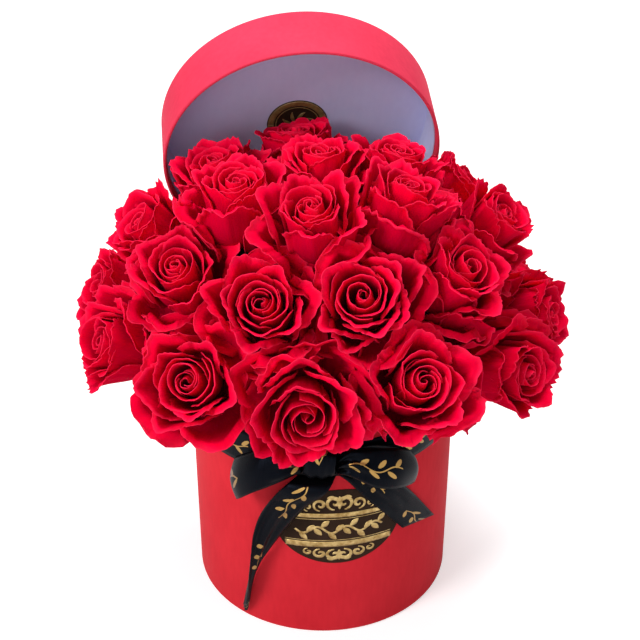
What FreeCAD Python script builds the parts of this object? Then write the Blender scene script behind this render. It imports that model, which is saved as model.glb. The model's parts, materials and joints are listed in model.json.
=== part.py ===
"""A round hat box filled with a dome of red roses, tied with a ribbon bow, its lid propped open behind"""
import FreeCAD, Part
import Sketcher
import itertools
import math
import os

Vector = FreeCAD.Vector
Rotation = FreeCAD.Rotation
Placement = FreeCAD.Placement
UP = Vector(0, 0, 1)

doc = FreeCAD.newDocument("flower_box")
sheet = doc.addObject("Spreadsheet::Sheet", "sizes")

# Driving dimensions in millimetres and degrees
# The box stands on z = 0 about the Z axis, with its label towards -Y and its lid behind, towards +Y
SIZES = (
    ("box_outer_d", 180.0, "outside of the box wall"),
    ("box_height", 200.0, "floor to rim"),
    ("box_board", 2.5, "board of the box wall"),
    ("base_board", 3.0, "board of the bottom disc"),
    ("glue_gap", 0.1, "between glued round boards"),
    ("liner_film", 0.8, "film of the waterproof liner"),
    ("liner_gap", 0.4, "between wall and liner"),
    ("liner_drop", 12.0, "edge of the liner below the rim"),
    ("foam_gap", 0.4, "between liner and foam"),
    ("foam_drop", 14.0, "edge of the foam block below the rim"),
    ("foam_set_back", 10.0, "foam dome in from the side of the foam block"),
    ("lid_clearance", 0.8, "lid wall around the box wall, all round"),
    ("lid_board", 2.2, "board of the lid wall and panel"),
    ("lid_depth", 40.0, "height of the lid wall"),
    ("lid_lean", 22.7, "axis of the lid up from level"),
    ("lid_shift", -7.0, "lid off the middle plane"),
    ("lid_stand", 2.0, "lip of the lid out from the inner edge of the rim"),
    ("lid_rest_gap", 0.6, "lip of the lid above the rim"),
    ("lining_paper", 0.5, "paper inside the lid"),
    ("lining_set_back", 7.0, "wall lining in from the lip of the lid"),
    ("sticker_d", 42.0, "round sticker inside the lid"),
    ("label_width", 82.0, "oval label across"),
    ("label_height", 60.0, "oval label upright"),
    ("label_middle", 90.5, "middle of the label above the floor"),
    ("label_paper", 0.4, "label and sticker paper"),
    ("ribbon_width", 25.0, "satin ribbon across"),
    ("ribbon_cloth", 0.8, "satin ribbon through"),
    ("ribbon_middle", 144.0, "middle of the ribbon above the floor"),
    ("ribbon_gap", 0.2, "ribbon off the wall"),
    ("knot_turn", -8.0, "bow round from the front"),
    ("knot_width", 20.0, "knot across"),
    ("knot_height", 19.0, "knot upright"),
    ("knot_depth", 13.0, "knot out from the ribbon"),
    ("knot_lift", 3.5, "knot above the middle of the ribbon"),
    ("knot_round", 4.0, "rounding of the knot"),
    ("bow_gap", 0.3, "bow pieces off the knot"),
    ("stem_d", 5.0, "rose stem"),
    ("stem_in_foam", 32.0, "stem pushed into the foam"),
    ("stem_fit", 0.1, "stem hole around the stem"),
    ("rim_gap", 1.2, "stem and calyx clear of the rim"),
    ("calyx_length", 7.0, "green cup under a rose head"),
    ("calyx_d", 12.0, "green cup where the petals start"),
    ("dome_neck", 2.5, "calyx off the foam dome"),
    ("skirt_neck", 4.0, "calyx out from the rim"),
    ("skirt_rose_d", 73.0, "rose heads over the rim, across"),
    ("skirt_rose_height", 52.0, "rose heads over the rim, upright"),
    ("dome_rose_d", 63.0, "rose heads of the dome, across"),
    ("dome_rose_height", 50.0, "rose heads of the dome, upright"),
    ("crown_rose_d", 52.0, "rose heads at the top, across"),
    ("crown_rose_height", 38.0, "rose heads at the top, upright"),
    ("rear_rose_d", 46.0, "small rose heads under the lid, across"),
    ("rear_rose_height", 42.0, "small rose heads under the lid, upright"),
    ("petal_gap", 0.5, "between neighbouring heads"),
    ("petal_thick", 1.6, "petal"),
)
for row, (alias, value, meaning) in enumerate(SIZES, start=1):
    sheet.set("A%d" % row, meaning)
    sheet.set("B%d" % row, str(value))
    sheet.setAlias("B%d" % row, alias)
doc.recompute()


def size(alias):
    """One driving dimension"""
    return float(sheet.get(alias))


# Rules that several pieces share, as the sheet reads them
BOX_OUTER_R = "(sizes.box_outer_d / 2)"
BOX_INNER_R = "(sizes.box_outer_d / 2 - sizes.box_board)"
LINER_R = "(sizes.box_outer_d / 2 - sizes.box_board - sizes.liner_gap)"
LINER_HEIGHT = "(sizes.box_height - sizes.liner_drop - sizes.base_board)"
FOAM_R = "(sizes.box_outer_d / 2 - sizes.box_board - sizes.liner_gap - sizes.liner_film - sizes.foam_gap)"
FOAM_FLOOR = "(sizes.base_board + sizes.liner_film)"
LID_INNER_R = "(sizes.box_outer_d / 2 + sizes.lid_clearance)"
BAND_INNER_R = "(sizes.box_outer_d / 2 + sizes.ribbon_gap)"

# The same lengths as numbers, for pieces that are set out in space
box_outer_r = size("box_outer_d") / 2
box_inner_r = box_outer_r - size("box_board")
foam_r = box_inner_r - size("liner_gap") - size("liner_film") - size("foam_gap")
foam_dome_r = foam_r - size("foam_set_back")
lid_outer_r = box_outer_r + size("lid_clearance") + size("lid_board")
stem_r = size("stem_d") / 2
dome_middle = Vector(0, 0, size("box_height") + size("rim_gap") + stem_r)

pieces = []


def finished(item, label):
    """Name a finished piece and keep it for writing"""
    item.Label = label
    pieces.append(item)
    return item


def bound(kind, name, **rules):
    """A new object of the document with its properties tied to the sheet"""
    item = doc.addObject(kind, name)
    for prop, rule in rules.items():
        item.setExpression(prop, rule)
    return item


def set_shape(label, shape, placement=None):
    """A piece whose shape is set outright"""
    item = doc.addObject("Part::Feature", label)
    item.Shape = shape
    item.Placement = placement or Placement()
    return finished(item, label)


def circles(body, name, rules):
    """A level sketch of circles about the body's own axis, one for each radius rule"""
    sketch = body.newObject("Sketcher::SketchObject", name)
    level = [plane for plane in body.Origin.OriginFeatures if plane.Role == "XY_Plane"][0]
    sketch.AttachmentSupport = (level, [""])
    sketch.MapMode = "FlatFace"
    for index, rule in enumerate(rules):
        draft_r = 50.0 + index
        edge = sketch.addGeometry(Part.Circle(Vector(0, 0, 0), UP, draft_r), False)
        sketch.addConstraint(Sketcher.Constraint("Coincident", edge, 3, -1, 1))
        radius = sketch.addConstraint(Sketcher.Constraint("Radius", edge, draft_r))
        sketch.setExpression("Constraints[%d]" % radius, rule)
    return sketch


def ring(label, outer_rule, inner_rule, length_rule, placement=None):
    """A round board or ribbon: a ring padded along its own axis"""
    body = doc.addObject("PartDesign::Body", label)
    pad = body.newObject("PartDesign::Pad", label + "_pad")
    pad.Profile = circles(body, label + "_circles", (outer_rule, inner_rule))
    pad.setExpression("Length", length_rule)
    body.Tip = pad
    body.Placement = placement or Placement()
    return finished(body, label)


def disc(label, radius_rule, height_rule, placement=None):
    """A round flat piece"""
    item = bound("Part::Cylinder", label, Radius=radius_rule, Height=height_rule)
    item.Placement = placement or Placement()
    return finished(item, label)


# Box: a wall rolled from board, with a disc glued in at the bottom
ring("box_wall", BOX_OUTER_R, BOX_INNER_R, "sizes.box_height")
disc("box_base", BOX_INNER_R + " - sizes.glue_gap", "sizes.base_board")


# Liner: a thin cup that keeps the water of the foam off the board
def liner():
    body = doc.addObject("PartDesign::Body", "waterproof_liner")
    pad = body.newObject("PartDesign::Pad", "liner_block")
    pad.Profile = circles(body, "liner_outside", (LINER_R,))
    pad.setExpression("Length", LINER_HEIGHT)
    doc.recompute()
    solid = pad.Shape.Volume
    hollow = body.newObject("PartDesign::Pocket", "liner_hollow")
    sketch = circles(body, "liner_inside", (LINER_R + " - sizes.liner_film",))
    sketch.setExpression("AttachmentOffset.Base.z", "sizes.liner_film")
    hollow.Profile = sketch
    hollow.Type = "ThroughAll"
    hollow.Reversed = True
    body.Tip = hollow
    doc.recompute()
    if not hollow.Shape.Volume < solid:
        raise RuntimeError("the liner is not hollow")
    body.Placement = Placement(Vector(0, 0, size("base_board")), Rotation())
    return finished(body, "waterproof_liner")


liner()

# Rose heads: azimuth round from the front, positive to the right, and the rise of the stem, in degrees
SKIRT = (
    (-132, 0), (-104, -2), (-76, -5), (-41, 6), (-11, 5),
    (17.5, 7), (54, -13), (84, -14), (116, -3), (146, 0),
)
DOME = (
    (-98, 26), (-60, 26), (-26, 26), (6, 28.5), (42, 27), (74.5, 31.5),
    (-106, 53), (-57.5, 55), (-11, 52.5), (35, 54),
)
CROWN = ((105, 37.5), (81, 66), (-13, 82), (-170, 59))
REAR = ((-141, 44.5), (150, 52))
# Whorls of a head, outermost first: petals, rim and foot radius and rim and foot height as shares of
# the head's own radius and height, half angle of a petal, turn of the whorl, and how far each petal
# lies inside the first, in petal thicknesses, so that neighbours overlap without touching
WHORLS = (
    (5, 1.00, 0.30, 0.76, 0.02, 47, 0, (0, 1.4, 0, 1.4, 2.8)),
    (4, 0.73, 0.29, 0.90, 0.10, 57, 30, (0, 1.4, 0, 1.4)),
    (3, 0.47, 0.28, 0.96, 0.22, 57, 70, (0, 0, 0)),
)
RIM_SHARE = WHORLS[0][3]
# The outer petals of a head leave notches, so two heads can stand this much closer than their rims say
CLOSE_SHARE = 0.93
# Bud in the middle of a head, as shares of the head's own radius and height
BUD = ((0, 0), (0.26, 0), (0.33, 0.10), (0.31, 0.55), (0.20, 0.93), (0.09, 1), (0, 1))
# Bends of a petal between its foot and its rim, as shares of the way out and of the way up
PETAL_BENDS = ((0.62, 0.20), (0.80, 0.62))
# Inner side of a petal, in and up from its outer side, in petal thicknesses
PETAL_INNER = (0.8, 0.7)
# Upper corners taken off a petal: from this share of its height at its side to this share of its half
# width at its rim, with a cut that reaches past the side
CORNER_LOW = 0.55
CORNER_IN = 0.4
CORNER_PAST = 1.1
# A petal that lies inside another: its rim's climb, its foot's step in and climb, as shares of its inset
INSET_RIM_CLIMB = 0.3
INSET_FOOT_IN = 0.3
INSET_FOOT_CLIMB = 0.9
# Turn from one head to the next about its own axis
SPIN = 137.5


def direction(azimuth, rise):
    """Unit vector out of the box, round from the front and up from level"""
    turn = math.radians(azimuth)
    lift = math.radians(rise)
    return Vector(math.sin(turn) * math.cos(lift), -math.cos(turn) * math.cos(lift), math.sin(lift))


class Head:
    """One rose: where its petals start, which way it faces and how big it is"""

    def __init__(self, family, azimuth, rise, foot):
        self.family = family
        self.axis = direction(azimuth, rise)
        self.foot = foot
        self.radius = size(family + "_rose_d") / 2
        self.height = size(family + "_rose_height")
        self.rim = foot + self.axis * (RIM_SHARE * self.height)


def skirt_foot(azimuth, rise, let_out):
    """Foot of a head whose stem passes over the rim of the box"""
    reach = box_outer_r + size("rim_gap") + size("calyx_length") + size("skirt_neck") + let_out
    slope = math.tan(math.radians(rise))
    half = stem_r / math.cos(math.radians(rise))
    drop = max((reach - box_inner_r) * slope, (reach - box_outer_r) * slope)
    level = size("box_height") + size("rim_gap") + half + drop
    return direction(azimuth, 0) * reach + Vector(0, 0, level)


def dome_foot(azimuth, rise, let_out):
    """Foot of a head that stands on the foam dome"""
    reach = foam_dome_r + size("dome_neck") + size("calyx_length") + let_out
    return dome_middle + direction(azimuth, rise) * reach


def set_out(let_out):
    """All heads, moved out from the foam by a length, whole gaps of it, that gives them room"""
    heads = [Head("skirt", *at, skirt_foot(*at, let_out)) for at in SKIRT]
    heads += [Head("dome", *at, dome_foot(*at, let_out)) for at in DOME]
    heads += [Head("crown", *at, dome_foot(*at, let_out)) for at in CROWN]
    heads += [Head("rear", *at, dome_foot(*at, let_out)) for at in REAR]
    return heads


def least_gap(heads):
    """Smallest room between the rims of two heads"""
    pairs = itertools.combinations(heads, 2)
    return min(a.rim.distanceToPoint(b.rim) - CLOSE_SHARE * (a.radius + b.radius) for a, b in pairs)


let_out = 0.0
while least_gap(set_out(let_out)) < size("petal_gap"):
    let_out += size("petal_gap")
heads = set_out(let_out)


def turned(outline):
    """A solid turned about Z from radius and height pairs"""
    corners = [Vector(r, 0, z) for r, z in outline]
    return Part.Face(Part.makePolygon(corners + corners[:1])).revolve(Vector(), UP, 360)


def petal(rim_r, rim_z, foot_r, foot_z, half_angle):
    """One cupped petal about Z, its rim flared and its upper corners taken off"""
    thick = size("petal_thick")
    run = rim_r - foot_r
    climb = rim_z - foot_z
    bends = [(foot_r + out * run, foot_z + up * climb) for out, up in PETAL_BENDS]
    outside = [(foot_r, foot_z), *bends, (rim_r, rim_z)]
    inside = [(r - PETAL_INNER[0] * thick, z + PETAL_INNER[1] * thick) for r, z in reversed(outside)]
    corners = [Vector(r, 0, z) for r, z in outside + inside]
    face = Part.Face(Part.makePolygon(corners + corners[:1]))
    face.rotate(Vector(), UP, -half_angle)
    solid = face.revolve(Vector(), UP, 2 * half_angle)
    half_width = rim_r * math.sin(math.radians(half_angle))
    top = rim_z + thick
    for side in (-1, 1):
        past = side * CORNER_PAST * half_width
        off = [Vector(0, past, CORNER_LOW * top), Vector(0, side * CORNER_IN * half_width, top),
               Vector(0, past, top)]
        corner = Part.Face(Part.makePolygon(off + off[:1])).extrude(Vector(2 * rim_r, 0, 0))
        solid = solid.cut(corner)
    return solid


def rose(radius, height):
    """One rose head standing on z = 0: a bud with whorls of petals around it"""
    bud = turned([(r * radius, z * height) for r, z in BUD])
    petals = []
    for count, rim_r, foot_r, rim_z, foot_z, half_angle, turn, insets in WHORLS:
        for index in range(count):
            inset = insets[index] * size("petal_thick")
            one = petal(rim_r * radius - inset, rim_z * height + INSET_RIM_CLIMB * inset,
                        foot_r * radius - INSET_FOOT_IN * inset,
                        foot_z * height + INSET_FOOT_CLIMB * inset, half_angle)
            one.rotate(Vector(), UP, turn + 360.0 * index / count)
            petals.append(one)
    return bud.multiFuse(petals)


models = {}
stems = []
bores = []
for number, head in enumerate(heads, start=1):
    if head.family not in models:
        models[head.family] = rose(head.radius, head.height)
    facing = Rotation(UP, head.axis).multiply(Rotation(UP, SPIN * number))
    set_shape("rose_%02d" % number, models[head.family].copy(), Placement(head.foot, facing))
    length = (head.foot - dome_middle).dot(head.axis) - foam_dome_r + size("stem_in_foam")
    back = head.axis * -1
    stalk = Part.makeCylinder(stem_r, length, head.foot, back)
    calyx = Part.makeCone(size("calyx_d") / 2, stem_r, size("calyx_length"), head.foot, back)
    stems.append(stalk.fuse(calyx))
    bores.append(Part.makeCylinder(stem_r + size("stem_fit"), length + size("stem_fit"), head.foot, back))
set_shape("rose_stems", Part.makeCompound(stems))

# Foam: a block in the liner with a dome above the rim, bored by the stems
block = bound("Part::Cylinder", "foam_block", Radius=FOAM_R,
              Height="sizes.box_height - sizes.foam_drop - " + FOAM_FLOOR)
block.Placement = Placement(Vector(0, 0, size("base_board") + size("liner_film")), Rotation())
dome = bound("Part::Sphere", "foam_dome", Radius=FOAM_R + " - sizes.foam_set_back")
dome.Placement = Placement(dome_middle, Rotation())
blank = doc.addObject("Part::Fuse", "foam_blank")
blank.Base = block
blank.Tool = dome
holes = doc.addObject("Part::Feature", "stem_holes")
holes.Shape = Part.makeCompound(bores)
foam = doc.addObject("Part::Cut", "floral_foam")
foam.Base = blank
foam.Tool = holes
finished(foam, "floral_foam")

# Label: an oval of paper on the front of the wall
oval = bound("Part::Ellipse", "label_oval", MajorRadius="sizes.label_width / 2",
             MinorRadius="sizes.label_height / 2")
oval.Placement = Placement(Vector(0, 0, size("label_middle")), Rotation(Vector(1, 0, 0), 90))
outline = doc.addObject("Part::Extrusion", "label_outline")
outline.Base = oval
outline.DirMode = "Custom"
outline.Dir = Vector(0, -1, 0)
outline.Solid = True
outline.setExpression("LengthFwd", "sizes.box_outer_d")
paper = bound("Part::Cylinder", "label_paper", Radius=BOX_OUTER_R + " + sizes.label_paper",
              Height="sizes.box_height")
wall = bound("Part::Cylinder", "label_backing", Radius=BOX_OUTER_R, Height="sizes.box_height")
wrap = doc.addObject("Part::Cut", "label_wrap")
wrap.Base = paper
wrap.Tool = wall
label = doc.addObject("Part::Common", "front_label")
label.Base = wrap
label.Tool = outline
finished(label, "front_label")

# Ribbon round the wall, and the knot of its bow, rounded by this share of its thinnest side at most
KNOT_ROUND_MOST = 0.45
ribbon_low = size("ribbon_middle") - size("ribbon_width") / 2
ring("ribbon_band", BAND_INNER_R + " + sizes.ribbon_cloth", BAND_INNER_R, "sizes.ribbon_width",
     Placement(Vector(0, 0, ribbon_low), Rotation()))
bow_r = box_outer_r + size("ribbon_gap") + size("ribbon_cloth") + size("ribbon_gap")
knot_middle = size("ribbon_middle") + size("knot_lift")
lump = bound("Part::Box", "knot_lump", Length="sizes.knot_width", Width="sizes.knot_depth",
             Height="sizes.knot_height")
corner = Vector(-size("knot_width") / 2, -bow_r - size("knot_depth"), knot_middle - size("knot_height") / 2)
lump.Placement = Placement(corner, Rotation())
doc.recompute()
knot = doc.addObject("Part::Fillet", "bow_knot")
knot.Base = lump
thinnest = min(size("knot_width"), size("knot_depth"), size("knot_height"))
knot_round = min(size("knot_round"), KNOT_ROUND_MOST * thinnest)
knot.Edges = [(index + 1, knot_round, knot_round) for index in range(len(lump.Shape.Edges))]
knot.Placement = Placement(Vector(), Rotation(UP, size("knot_turn")))
finished(knot, "bow_knot")

# Bow: each ribbon is drawn by hand as stations along its length, for a ribbon of this width
# A station has two edge points: degrees round from the knot's side or middle, height from the middle
# of the ribbon, and distance out from the knot's back
DRAWN_WIDTH = 25.0
LOOP_LEFT = (
    ((0, -3, 9), (0, 8, 9)), ((-7, -7, 14), (-6, 14, 14)), ((-14, -13, 17), (-13, 13, 17)),
    ((-20.5, -24, 15), (-21, 4, 15)), ((-24, -31, 10.5), (-26, -3, 9)),
    ((-19, -24, 5), (-20, 3, 5)), ((-9, -8, 4.5), (-9, 12, 4.5)), ((0, -3, 5), (0, 8, 5)),
)
LOOP_RIGHT = (
    ((0, -3, 9), (0, 8, 9)), ((4, -1, 14), (5, 17, 14)), ((12, -8, 18), (12, 16, 18)),
    ((20, -13, 17), (20, 12, 17)), ((29.5, -20, 10.5), (27, 5, 10)),
    ((23, -16, 5), (22, 8, 5)), ((11, -7, 4.5), (11, 13, 4.5)), ((0, -3, 5), (0, 8, 5)),
)
TAIL_LEFT = (
    ((-8, -7, 6), (6, -7, 6)), ((-12, -11, 14), (2.5, -13, 15)), ((-17.5, -25, 12), (-5, -29, 11)),
    ((-22, -40, 12), (-12.5, -51, 5.5)), ((-24.5, -57, 14), (-20, -73, 2)),
    ((-25.5, -76, 15), (-27, -93, 1.5)), ((-27.5, -100, 13), (-32, -116, 1.5)),
    ((-31.5, -126, 6), (-33.8, -138, 1.5)),
)
TAIL_RIGHT = (
    ((0, -8, 2.2), (1.5, 1, 2.2)), ((4.5, -15, 2.2), (14, -6, 2.2)), ((10.3, -27.5, 1.8), (21, -18.5, 1.8)),
    ((18.2, -43, 1.5), (28.7, -34, 1.5)), ((29.6, -65.5, 1.5), (50, -73, 1.5)),
)


def edge_point(start_turn, turn, lift, out):
    """A point of a ribbon's edge in space"""
    level = Vector(0, 0, size("ribbon_middle") + lift)
    return direction(start_turn + turn, 0) * (bow_r + out) + level


def smooth_line(points):
    """A smooth curve through points, one unit of its length for each step"""
    line = Part.BSplineCurve()
    line.interpolate(Points=list(points), Parameters=[float(step) for step in range(len(points))])
    return line


def face_between(first, second):
    """The face of straight lines between two curves that keep step"""
    poles = [list(pair) for pair in zip(first.getPoles(), second.getPoles())]
    surface = Part.BSplineSurface()
    surface.buildFromPolesMultsKnots(poles, first.getMultiplicities(), [2, 2], first.getKnots(), [0, 1],
                                     False, False, first.Degree, 1)
    return surface.toShape()


def strip(label, start_turn, stations):
    """A bent length of ribbon: four smooth edges through its stations, with faces between them"""
    spread = size("ribbon_width") / DRAWN_WIDTH / 2
    edges = []
    for first, second in stations:
        low = edge_point(start_turn, *first)
        high = edge_point(start_turn, *second)
        middle = (low + high) * 0.5
        half = (high - low) * spread
        edges.append((middle - half, middle + half))
    middles = [(low + high) * 0.5 for low, high in edges]
    sections = []
    for index, (low, high) in enumerate(edges):
        ahead = middles[min(index + 1, len(edges) - 1)] - middles[max(index - 1, 0)]
        through = (high - low).cross(ahead).normalize() * size("ribbon_cloth")
        sections.append((low, high, high + through, low + through))
    lines = [smooth_line(corners) for corners in zip(*sections)]
    faces = [face_between(lines[index - 1], lines[index]) for index in range(len(lines))]
    faces += [Part.Face(Part.makePolygon(end + end[:1])) for end in (sections[0], sections[-1])]
    shell = Part.makeShell(faces)
    shell.sewShape()
    return set_shape(label, Part.makeSolid(shell))


side_turn = math.degrees(math.asin((size("knot_width") / 2 + size("bow_gap")) / bow_r))
strip("bow_loop_left", size("knot_turn") - side_turn, LOOP_LEFT)
strip("bow_loop_right", size("knot_turn") + side_turn, LOOP_RIGHT)
strip("bow_tail_left", size("knot_turn"), TAIL_LEFT)
strip("bow_tail_right", size("knot_turn") + side_turn, TAIL_RIGHT)

# Lid: its axis leans back and up, and its lip stands on the rear of the rim
lean = math.radians(size("lid_lean"))
lid_axis = Vector(0, math.cos(lean), math.sin(lean))
lip_down = Vector(0, math.sin(lean), -math.cos(lean))
lip = Vector(size("lid_shift"), box_inner_r + size("lid_stand"), size("box_height") + size("lid_rest_gap"))
mouth = lip - lip_down * lid_outer_r


def in_lid(depth):
    """A place on the lid's axis, measured in from its mouth"""
    return Placement(mouth + lid_axis * depth, Rotation(UP, lid_axis))


panel_depth = size("lid_depth") - size("lid_board")
lining_depth = panel_depth - size("lining_paper")
ring("lid_wall", LID_INNER_R + " + sizes.lid_board", LID_INNER_R, "sizes.lid_depth", in_lid(0))
disc("lid_panel", LID_INNER_R + " - sizes.glue_gap", "sizes.lid_board", in_lid(panel_depth))
disc("lid_lining", LID_INNER_R + " - sizes.glue_gap", "sizes.lining_paper", in_lid(lining_depth))
ring("lid_wall_lining", LID_INNER_R + " - sizes.glue_gap",
     LID_INNER_R + " - sizes.glue_gap - sizes.lining_paper",
     "sizes.lid_depth - sizes.lid_board - sizes.lining_paper - sizes.lining_set_back",
     in_lid(size("lining_set_back")))
disc("lid_sticker", "sizes.sticker_d / 2", "sizes.label_paper", in_lid(lining_depth - size("label_paper")))

# Everything is checked before anything is written
doc.recompute()
for item in doc.Objects:
    if "Invalid" in item.State or "Error" in item.State:
        raise RuntimeError("%s failed: %s" % (item.Name, item.State))
for item in pieces:
    if item.Shape.isNull() or not item.Shape.isValid():
        raise RuntimeError("%s has no valid shape" % item.Label)
os.makedirs("parts", exist_ok=True)
for item in pieces:
    item.Shape.exportStep("parts/%s.step" % item.Label)
print("%d pieces, heads let out by %.1f mm" % (len(pieces), let_out))
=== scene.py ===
import json
import math

import bpy
import numpy as np
from mathutils import Matrix, Vector

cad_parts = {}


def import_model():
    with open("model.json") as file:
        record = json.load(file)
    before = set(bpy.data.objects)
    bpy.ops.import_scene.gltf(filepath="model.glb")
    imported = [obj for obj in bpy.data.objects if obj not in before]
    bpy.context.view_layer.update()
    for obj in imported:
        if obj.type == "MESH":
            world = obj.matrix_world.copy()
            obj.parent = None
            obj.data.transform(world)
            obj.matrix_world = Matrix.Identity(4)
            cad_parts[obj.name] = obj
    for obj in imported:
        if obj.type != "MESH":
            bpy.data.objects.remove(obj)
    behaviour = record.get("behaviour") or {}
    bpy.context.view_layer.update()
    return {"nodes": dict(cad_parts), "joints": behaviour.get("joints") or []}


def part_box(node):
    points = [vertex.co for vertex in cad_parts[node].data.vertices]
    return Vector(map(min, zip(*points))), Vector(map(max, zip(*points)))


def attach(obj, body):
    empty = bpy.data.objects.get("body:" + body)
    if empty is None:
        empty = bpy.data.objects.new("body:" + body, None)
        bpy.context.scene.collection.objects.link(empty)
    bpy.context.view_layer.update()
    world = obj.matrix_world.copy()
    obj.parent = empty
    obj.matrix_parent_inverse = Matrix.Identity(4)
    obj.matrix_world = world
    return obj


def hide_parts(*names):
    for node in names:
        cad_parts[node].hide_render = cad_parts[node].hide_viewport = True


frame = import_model()

# Lengths below are in metres, written as millimetres times MM; angles are in degrees
MM = 0.001
BOX_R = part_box("box_wall")[1].x
BOX_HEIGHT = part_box("box_wall")[1].z
BOX_BOARD = 2.5 * MM
# Degrees from step to step of a round wall
ROUND_STEP = 2.0


def srgb(red, green, blue):
    """A colour as it looks on a screen, from 0 to 255, as linear light"""
    shares = [value / 255 for value in (red, green, blue)]
    return tuple(s / 12.92 if s <= 0.04045 else ((s + 0.055) / 1.055) ** 2.4 for s in shares) + (1.0,)


def smooth_step(low, high, value):
    """0 below low, 1 above high, and an easy curve between them"""
    share = np.clip((value - low) / (high - low), 0, 1)
    return share * share * (3 - 2 * share)


def stacked(*axes):
    """Coordinates side by side on a last axis"""
    return np.stack(np.broadcast_arrays(*axes), axis=-1)


def direction(azimuth, rise):
    """Unit vector out of the box, round from the front and up from level"""
    turn = math.radians(azimuth)
    lift = math.radians(rise)
    return Vector((math.sin(turn) * math.cos(lift), -math.cos(turn) * math.cos(lift), math.sin(lift)))


# Materials

class Nodes:
    """A node tree in the making"""

    def __init__(self, tree):
        self.tree = tree

    def node(self, kind, inputs=None, **settings):
        made = self.tree.nodes.new("ShaderNode" + kind)
        for name, value in settings.items():
            setattr(made, name, value)
        for name, value in (inputs or {}).items():
            self.feed(made.inputs[name], value)
        return made

    def feed(self, socket, value):
        if isinstance(value, bpy.types.NodeSocket):
            self.tree.links.new(value, socket)
        else:
            socket.default_value = value

    def place(self):
        """Position on the object, in metres"""
        return self.node("TexCoord").outputs["Object"]

    def uv(self):
        return self.node("TexCoord").outputs["UV"]

    def stretched(self, vector, scale):
        return self.node("Mapping", {"Vector": vector, "Scale": scale}).outputs["Vector"]

    def noise(self, vector, scale, detail, roughness=0.5):
        inputs = {"Vector": vector, "Scale": scale, "Detail": detail, "Roughness": roughness}
        return self.node("TexNoise", inputs).outputs["Fac"]

    def ramp(self, value, *stops):
        made = self.node("ValToRGB", {"Fac": value})
        marks = made.color_ramp.elements
        while len(marks) < len(stops):
            marks.new(0.5)
        for mark, (position, colour) in zip(marks, stops):
            mark.position, mark.color = position, colour
        return made.outputs["Color"]

    def levels(self, value, low, high):
        """A number that goes from low to high as value goes from 0 to 1"""
        inputs = {"Value": value, "To Min": low, "To Max": high}
        return self.node("MapRange", inputs).outputs["Result"]

    def math(self, operation, *values):
        made = self.node("Math", operation=operation)
        for socket, value in zip(made.inputs, values):
            self.feed(socket, value)
        return made.outputs[0]

    def times(self, first, second):
        return self.math("MULTIPLY", first, second)

    def weighed(self, x, x_weight, y, y_weight):
        """Sum of two numbers, each times its weight"""
        return self.math("ADD", self.times(x, x_weight), self.times(y, y_weight))

    def mix(self, share, first, second):
        """Two colours mixed; sockets of the Mix node share names, so they go by number"""
        made = self.node("Mix", data_type="RGBA")
        for index, value in zip((0, 6, 7), (share, first, second)):
            self.feed(made.inputs[index], value)
        return made.outputs[2]

    def bump(self, height, strength, distance):
        inputs = {"Height": height, "Strength": strength, "Distance": distance}
        return self.node("Bump", inputs).outputs["Normal"]


class Finish(Nodes):
    """One material in the making: its nodes and its shader"""

    def __init__(self, name, **sockets):
        self.material = bpy.data.materials.new(name)
        self.material.use_nodes = True
        super().__init__(self.material.node_tree)
        self.shader = self.tree.nodes["Principled BSDF"]
        self.finish(**sockets)

    def finish(self, **sockets):
        for socket, value in sockets.items():
            self.feed(self.shader.inputs[socket.replace("_", " ")], value)
        return self.material


def paper(name, dark, light, grain=900.0, rough=(0.52, 0.68), bump=0.12):
    """Board or paper: soft cloudy tone, fibres and a fine tooth"""
    made = Finish(name, Specular_IOR_Level=0.03)
    place = made.place()
    cloud = made.noise(place, 22.0, 4.0)
    tooth = made.noise(place, grain, 4.0, 0.65)
    fibre = made.noise(made.stretched(place, (1.0, 1.0, 0.25)), grain * 0.35, 2.0)
    tone = made.mix(0.35, cloud, fibre)
    colour = made.ramp(tone, (0.30, dark), (0.70, light))
    normal = made.bump(tooth, bump, 0.4 * MM)
    return made.finish(Base_Color=colour, Roughness=made.levels(tooth, *rough), Normal=normal)


def petal_finish():
    """Velvety rose petal, veined along its length: painted shade deep at its foot, painted light at its
    rim and a painted highlight along its margin
    """
    made = Finish("rose_petal", Specular_IOR_Level=0.01, Sheen_Weight=0.03, Sheen_Roughness=0.35,
                  Sheen_Tint=srgb(255, 40, 96), Subsurface_Weight=0.12,
                  Subsurface_Radius=(1.0, 0.06, 0.14), Subsurface_Scale=1.0 * MM)
    painted_light_and_tone = made.node("Attribute", attribute_name="petal").outputs["Color"]
    parts = made.node("SeparateColor", {"Color": painted_light_and_tone}).outputs
    veins = made.noise(made.stretched(made.uv(), (46.0, 2.2, 1.0)), 1.0, 3.0, 0.6)
    cloud = made.noise(made.place(), 90.0, 3.0)
    # Painted shade and light: the first channel darkens the petal towards its foot and brightens it
    # towards its rim
    colour = made.ramp(parts["Red"], (0.0, srgb(112, 0, 22)), (0.28, srgb(196, 0, 44)),
                       (0.72, srgb(246, 0, 52)), (1.0, srgb(255, 0, 60)))
    # The second channel paints a pale pink highlight along the petal's margin; the others are veins,
    # each petal's own tone and a cloudy tone
    over = ((veins, 0.32, srgb(172, 0, 36)), (parts["Blue"], 0.45, srgb(204, 0, 50)),
            (cloud, 0.20, srgb(176, 0, 40)), (parts["Green"], 0.38, srgb(255, 56, 96)))
    for share, most, tone in over:
        colour = made.mix(made.levels(share, 0.0, most), colour, tone)
    normal = made.bump(veins, 0.5, 0.6 * MM)
    rough = made.levels(cloud, 0.50, 0.66)
    return made.finish(Base_Color=colour, Roughness=rough, Normal=normal)


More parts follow.
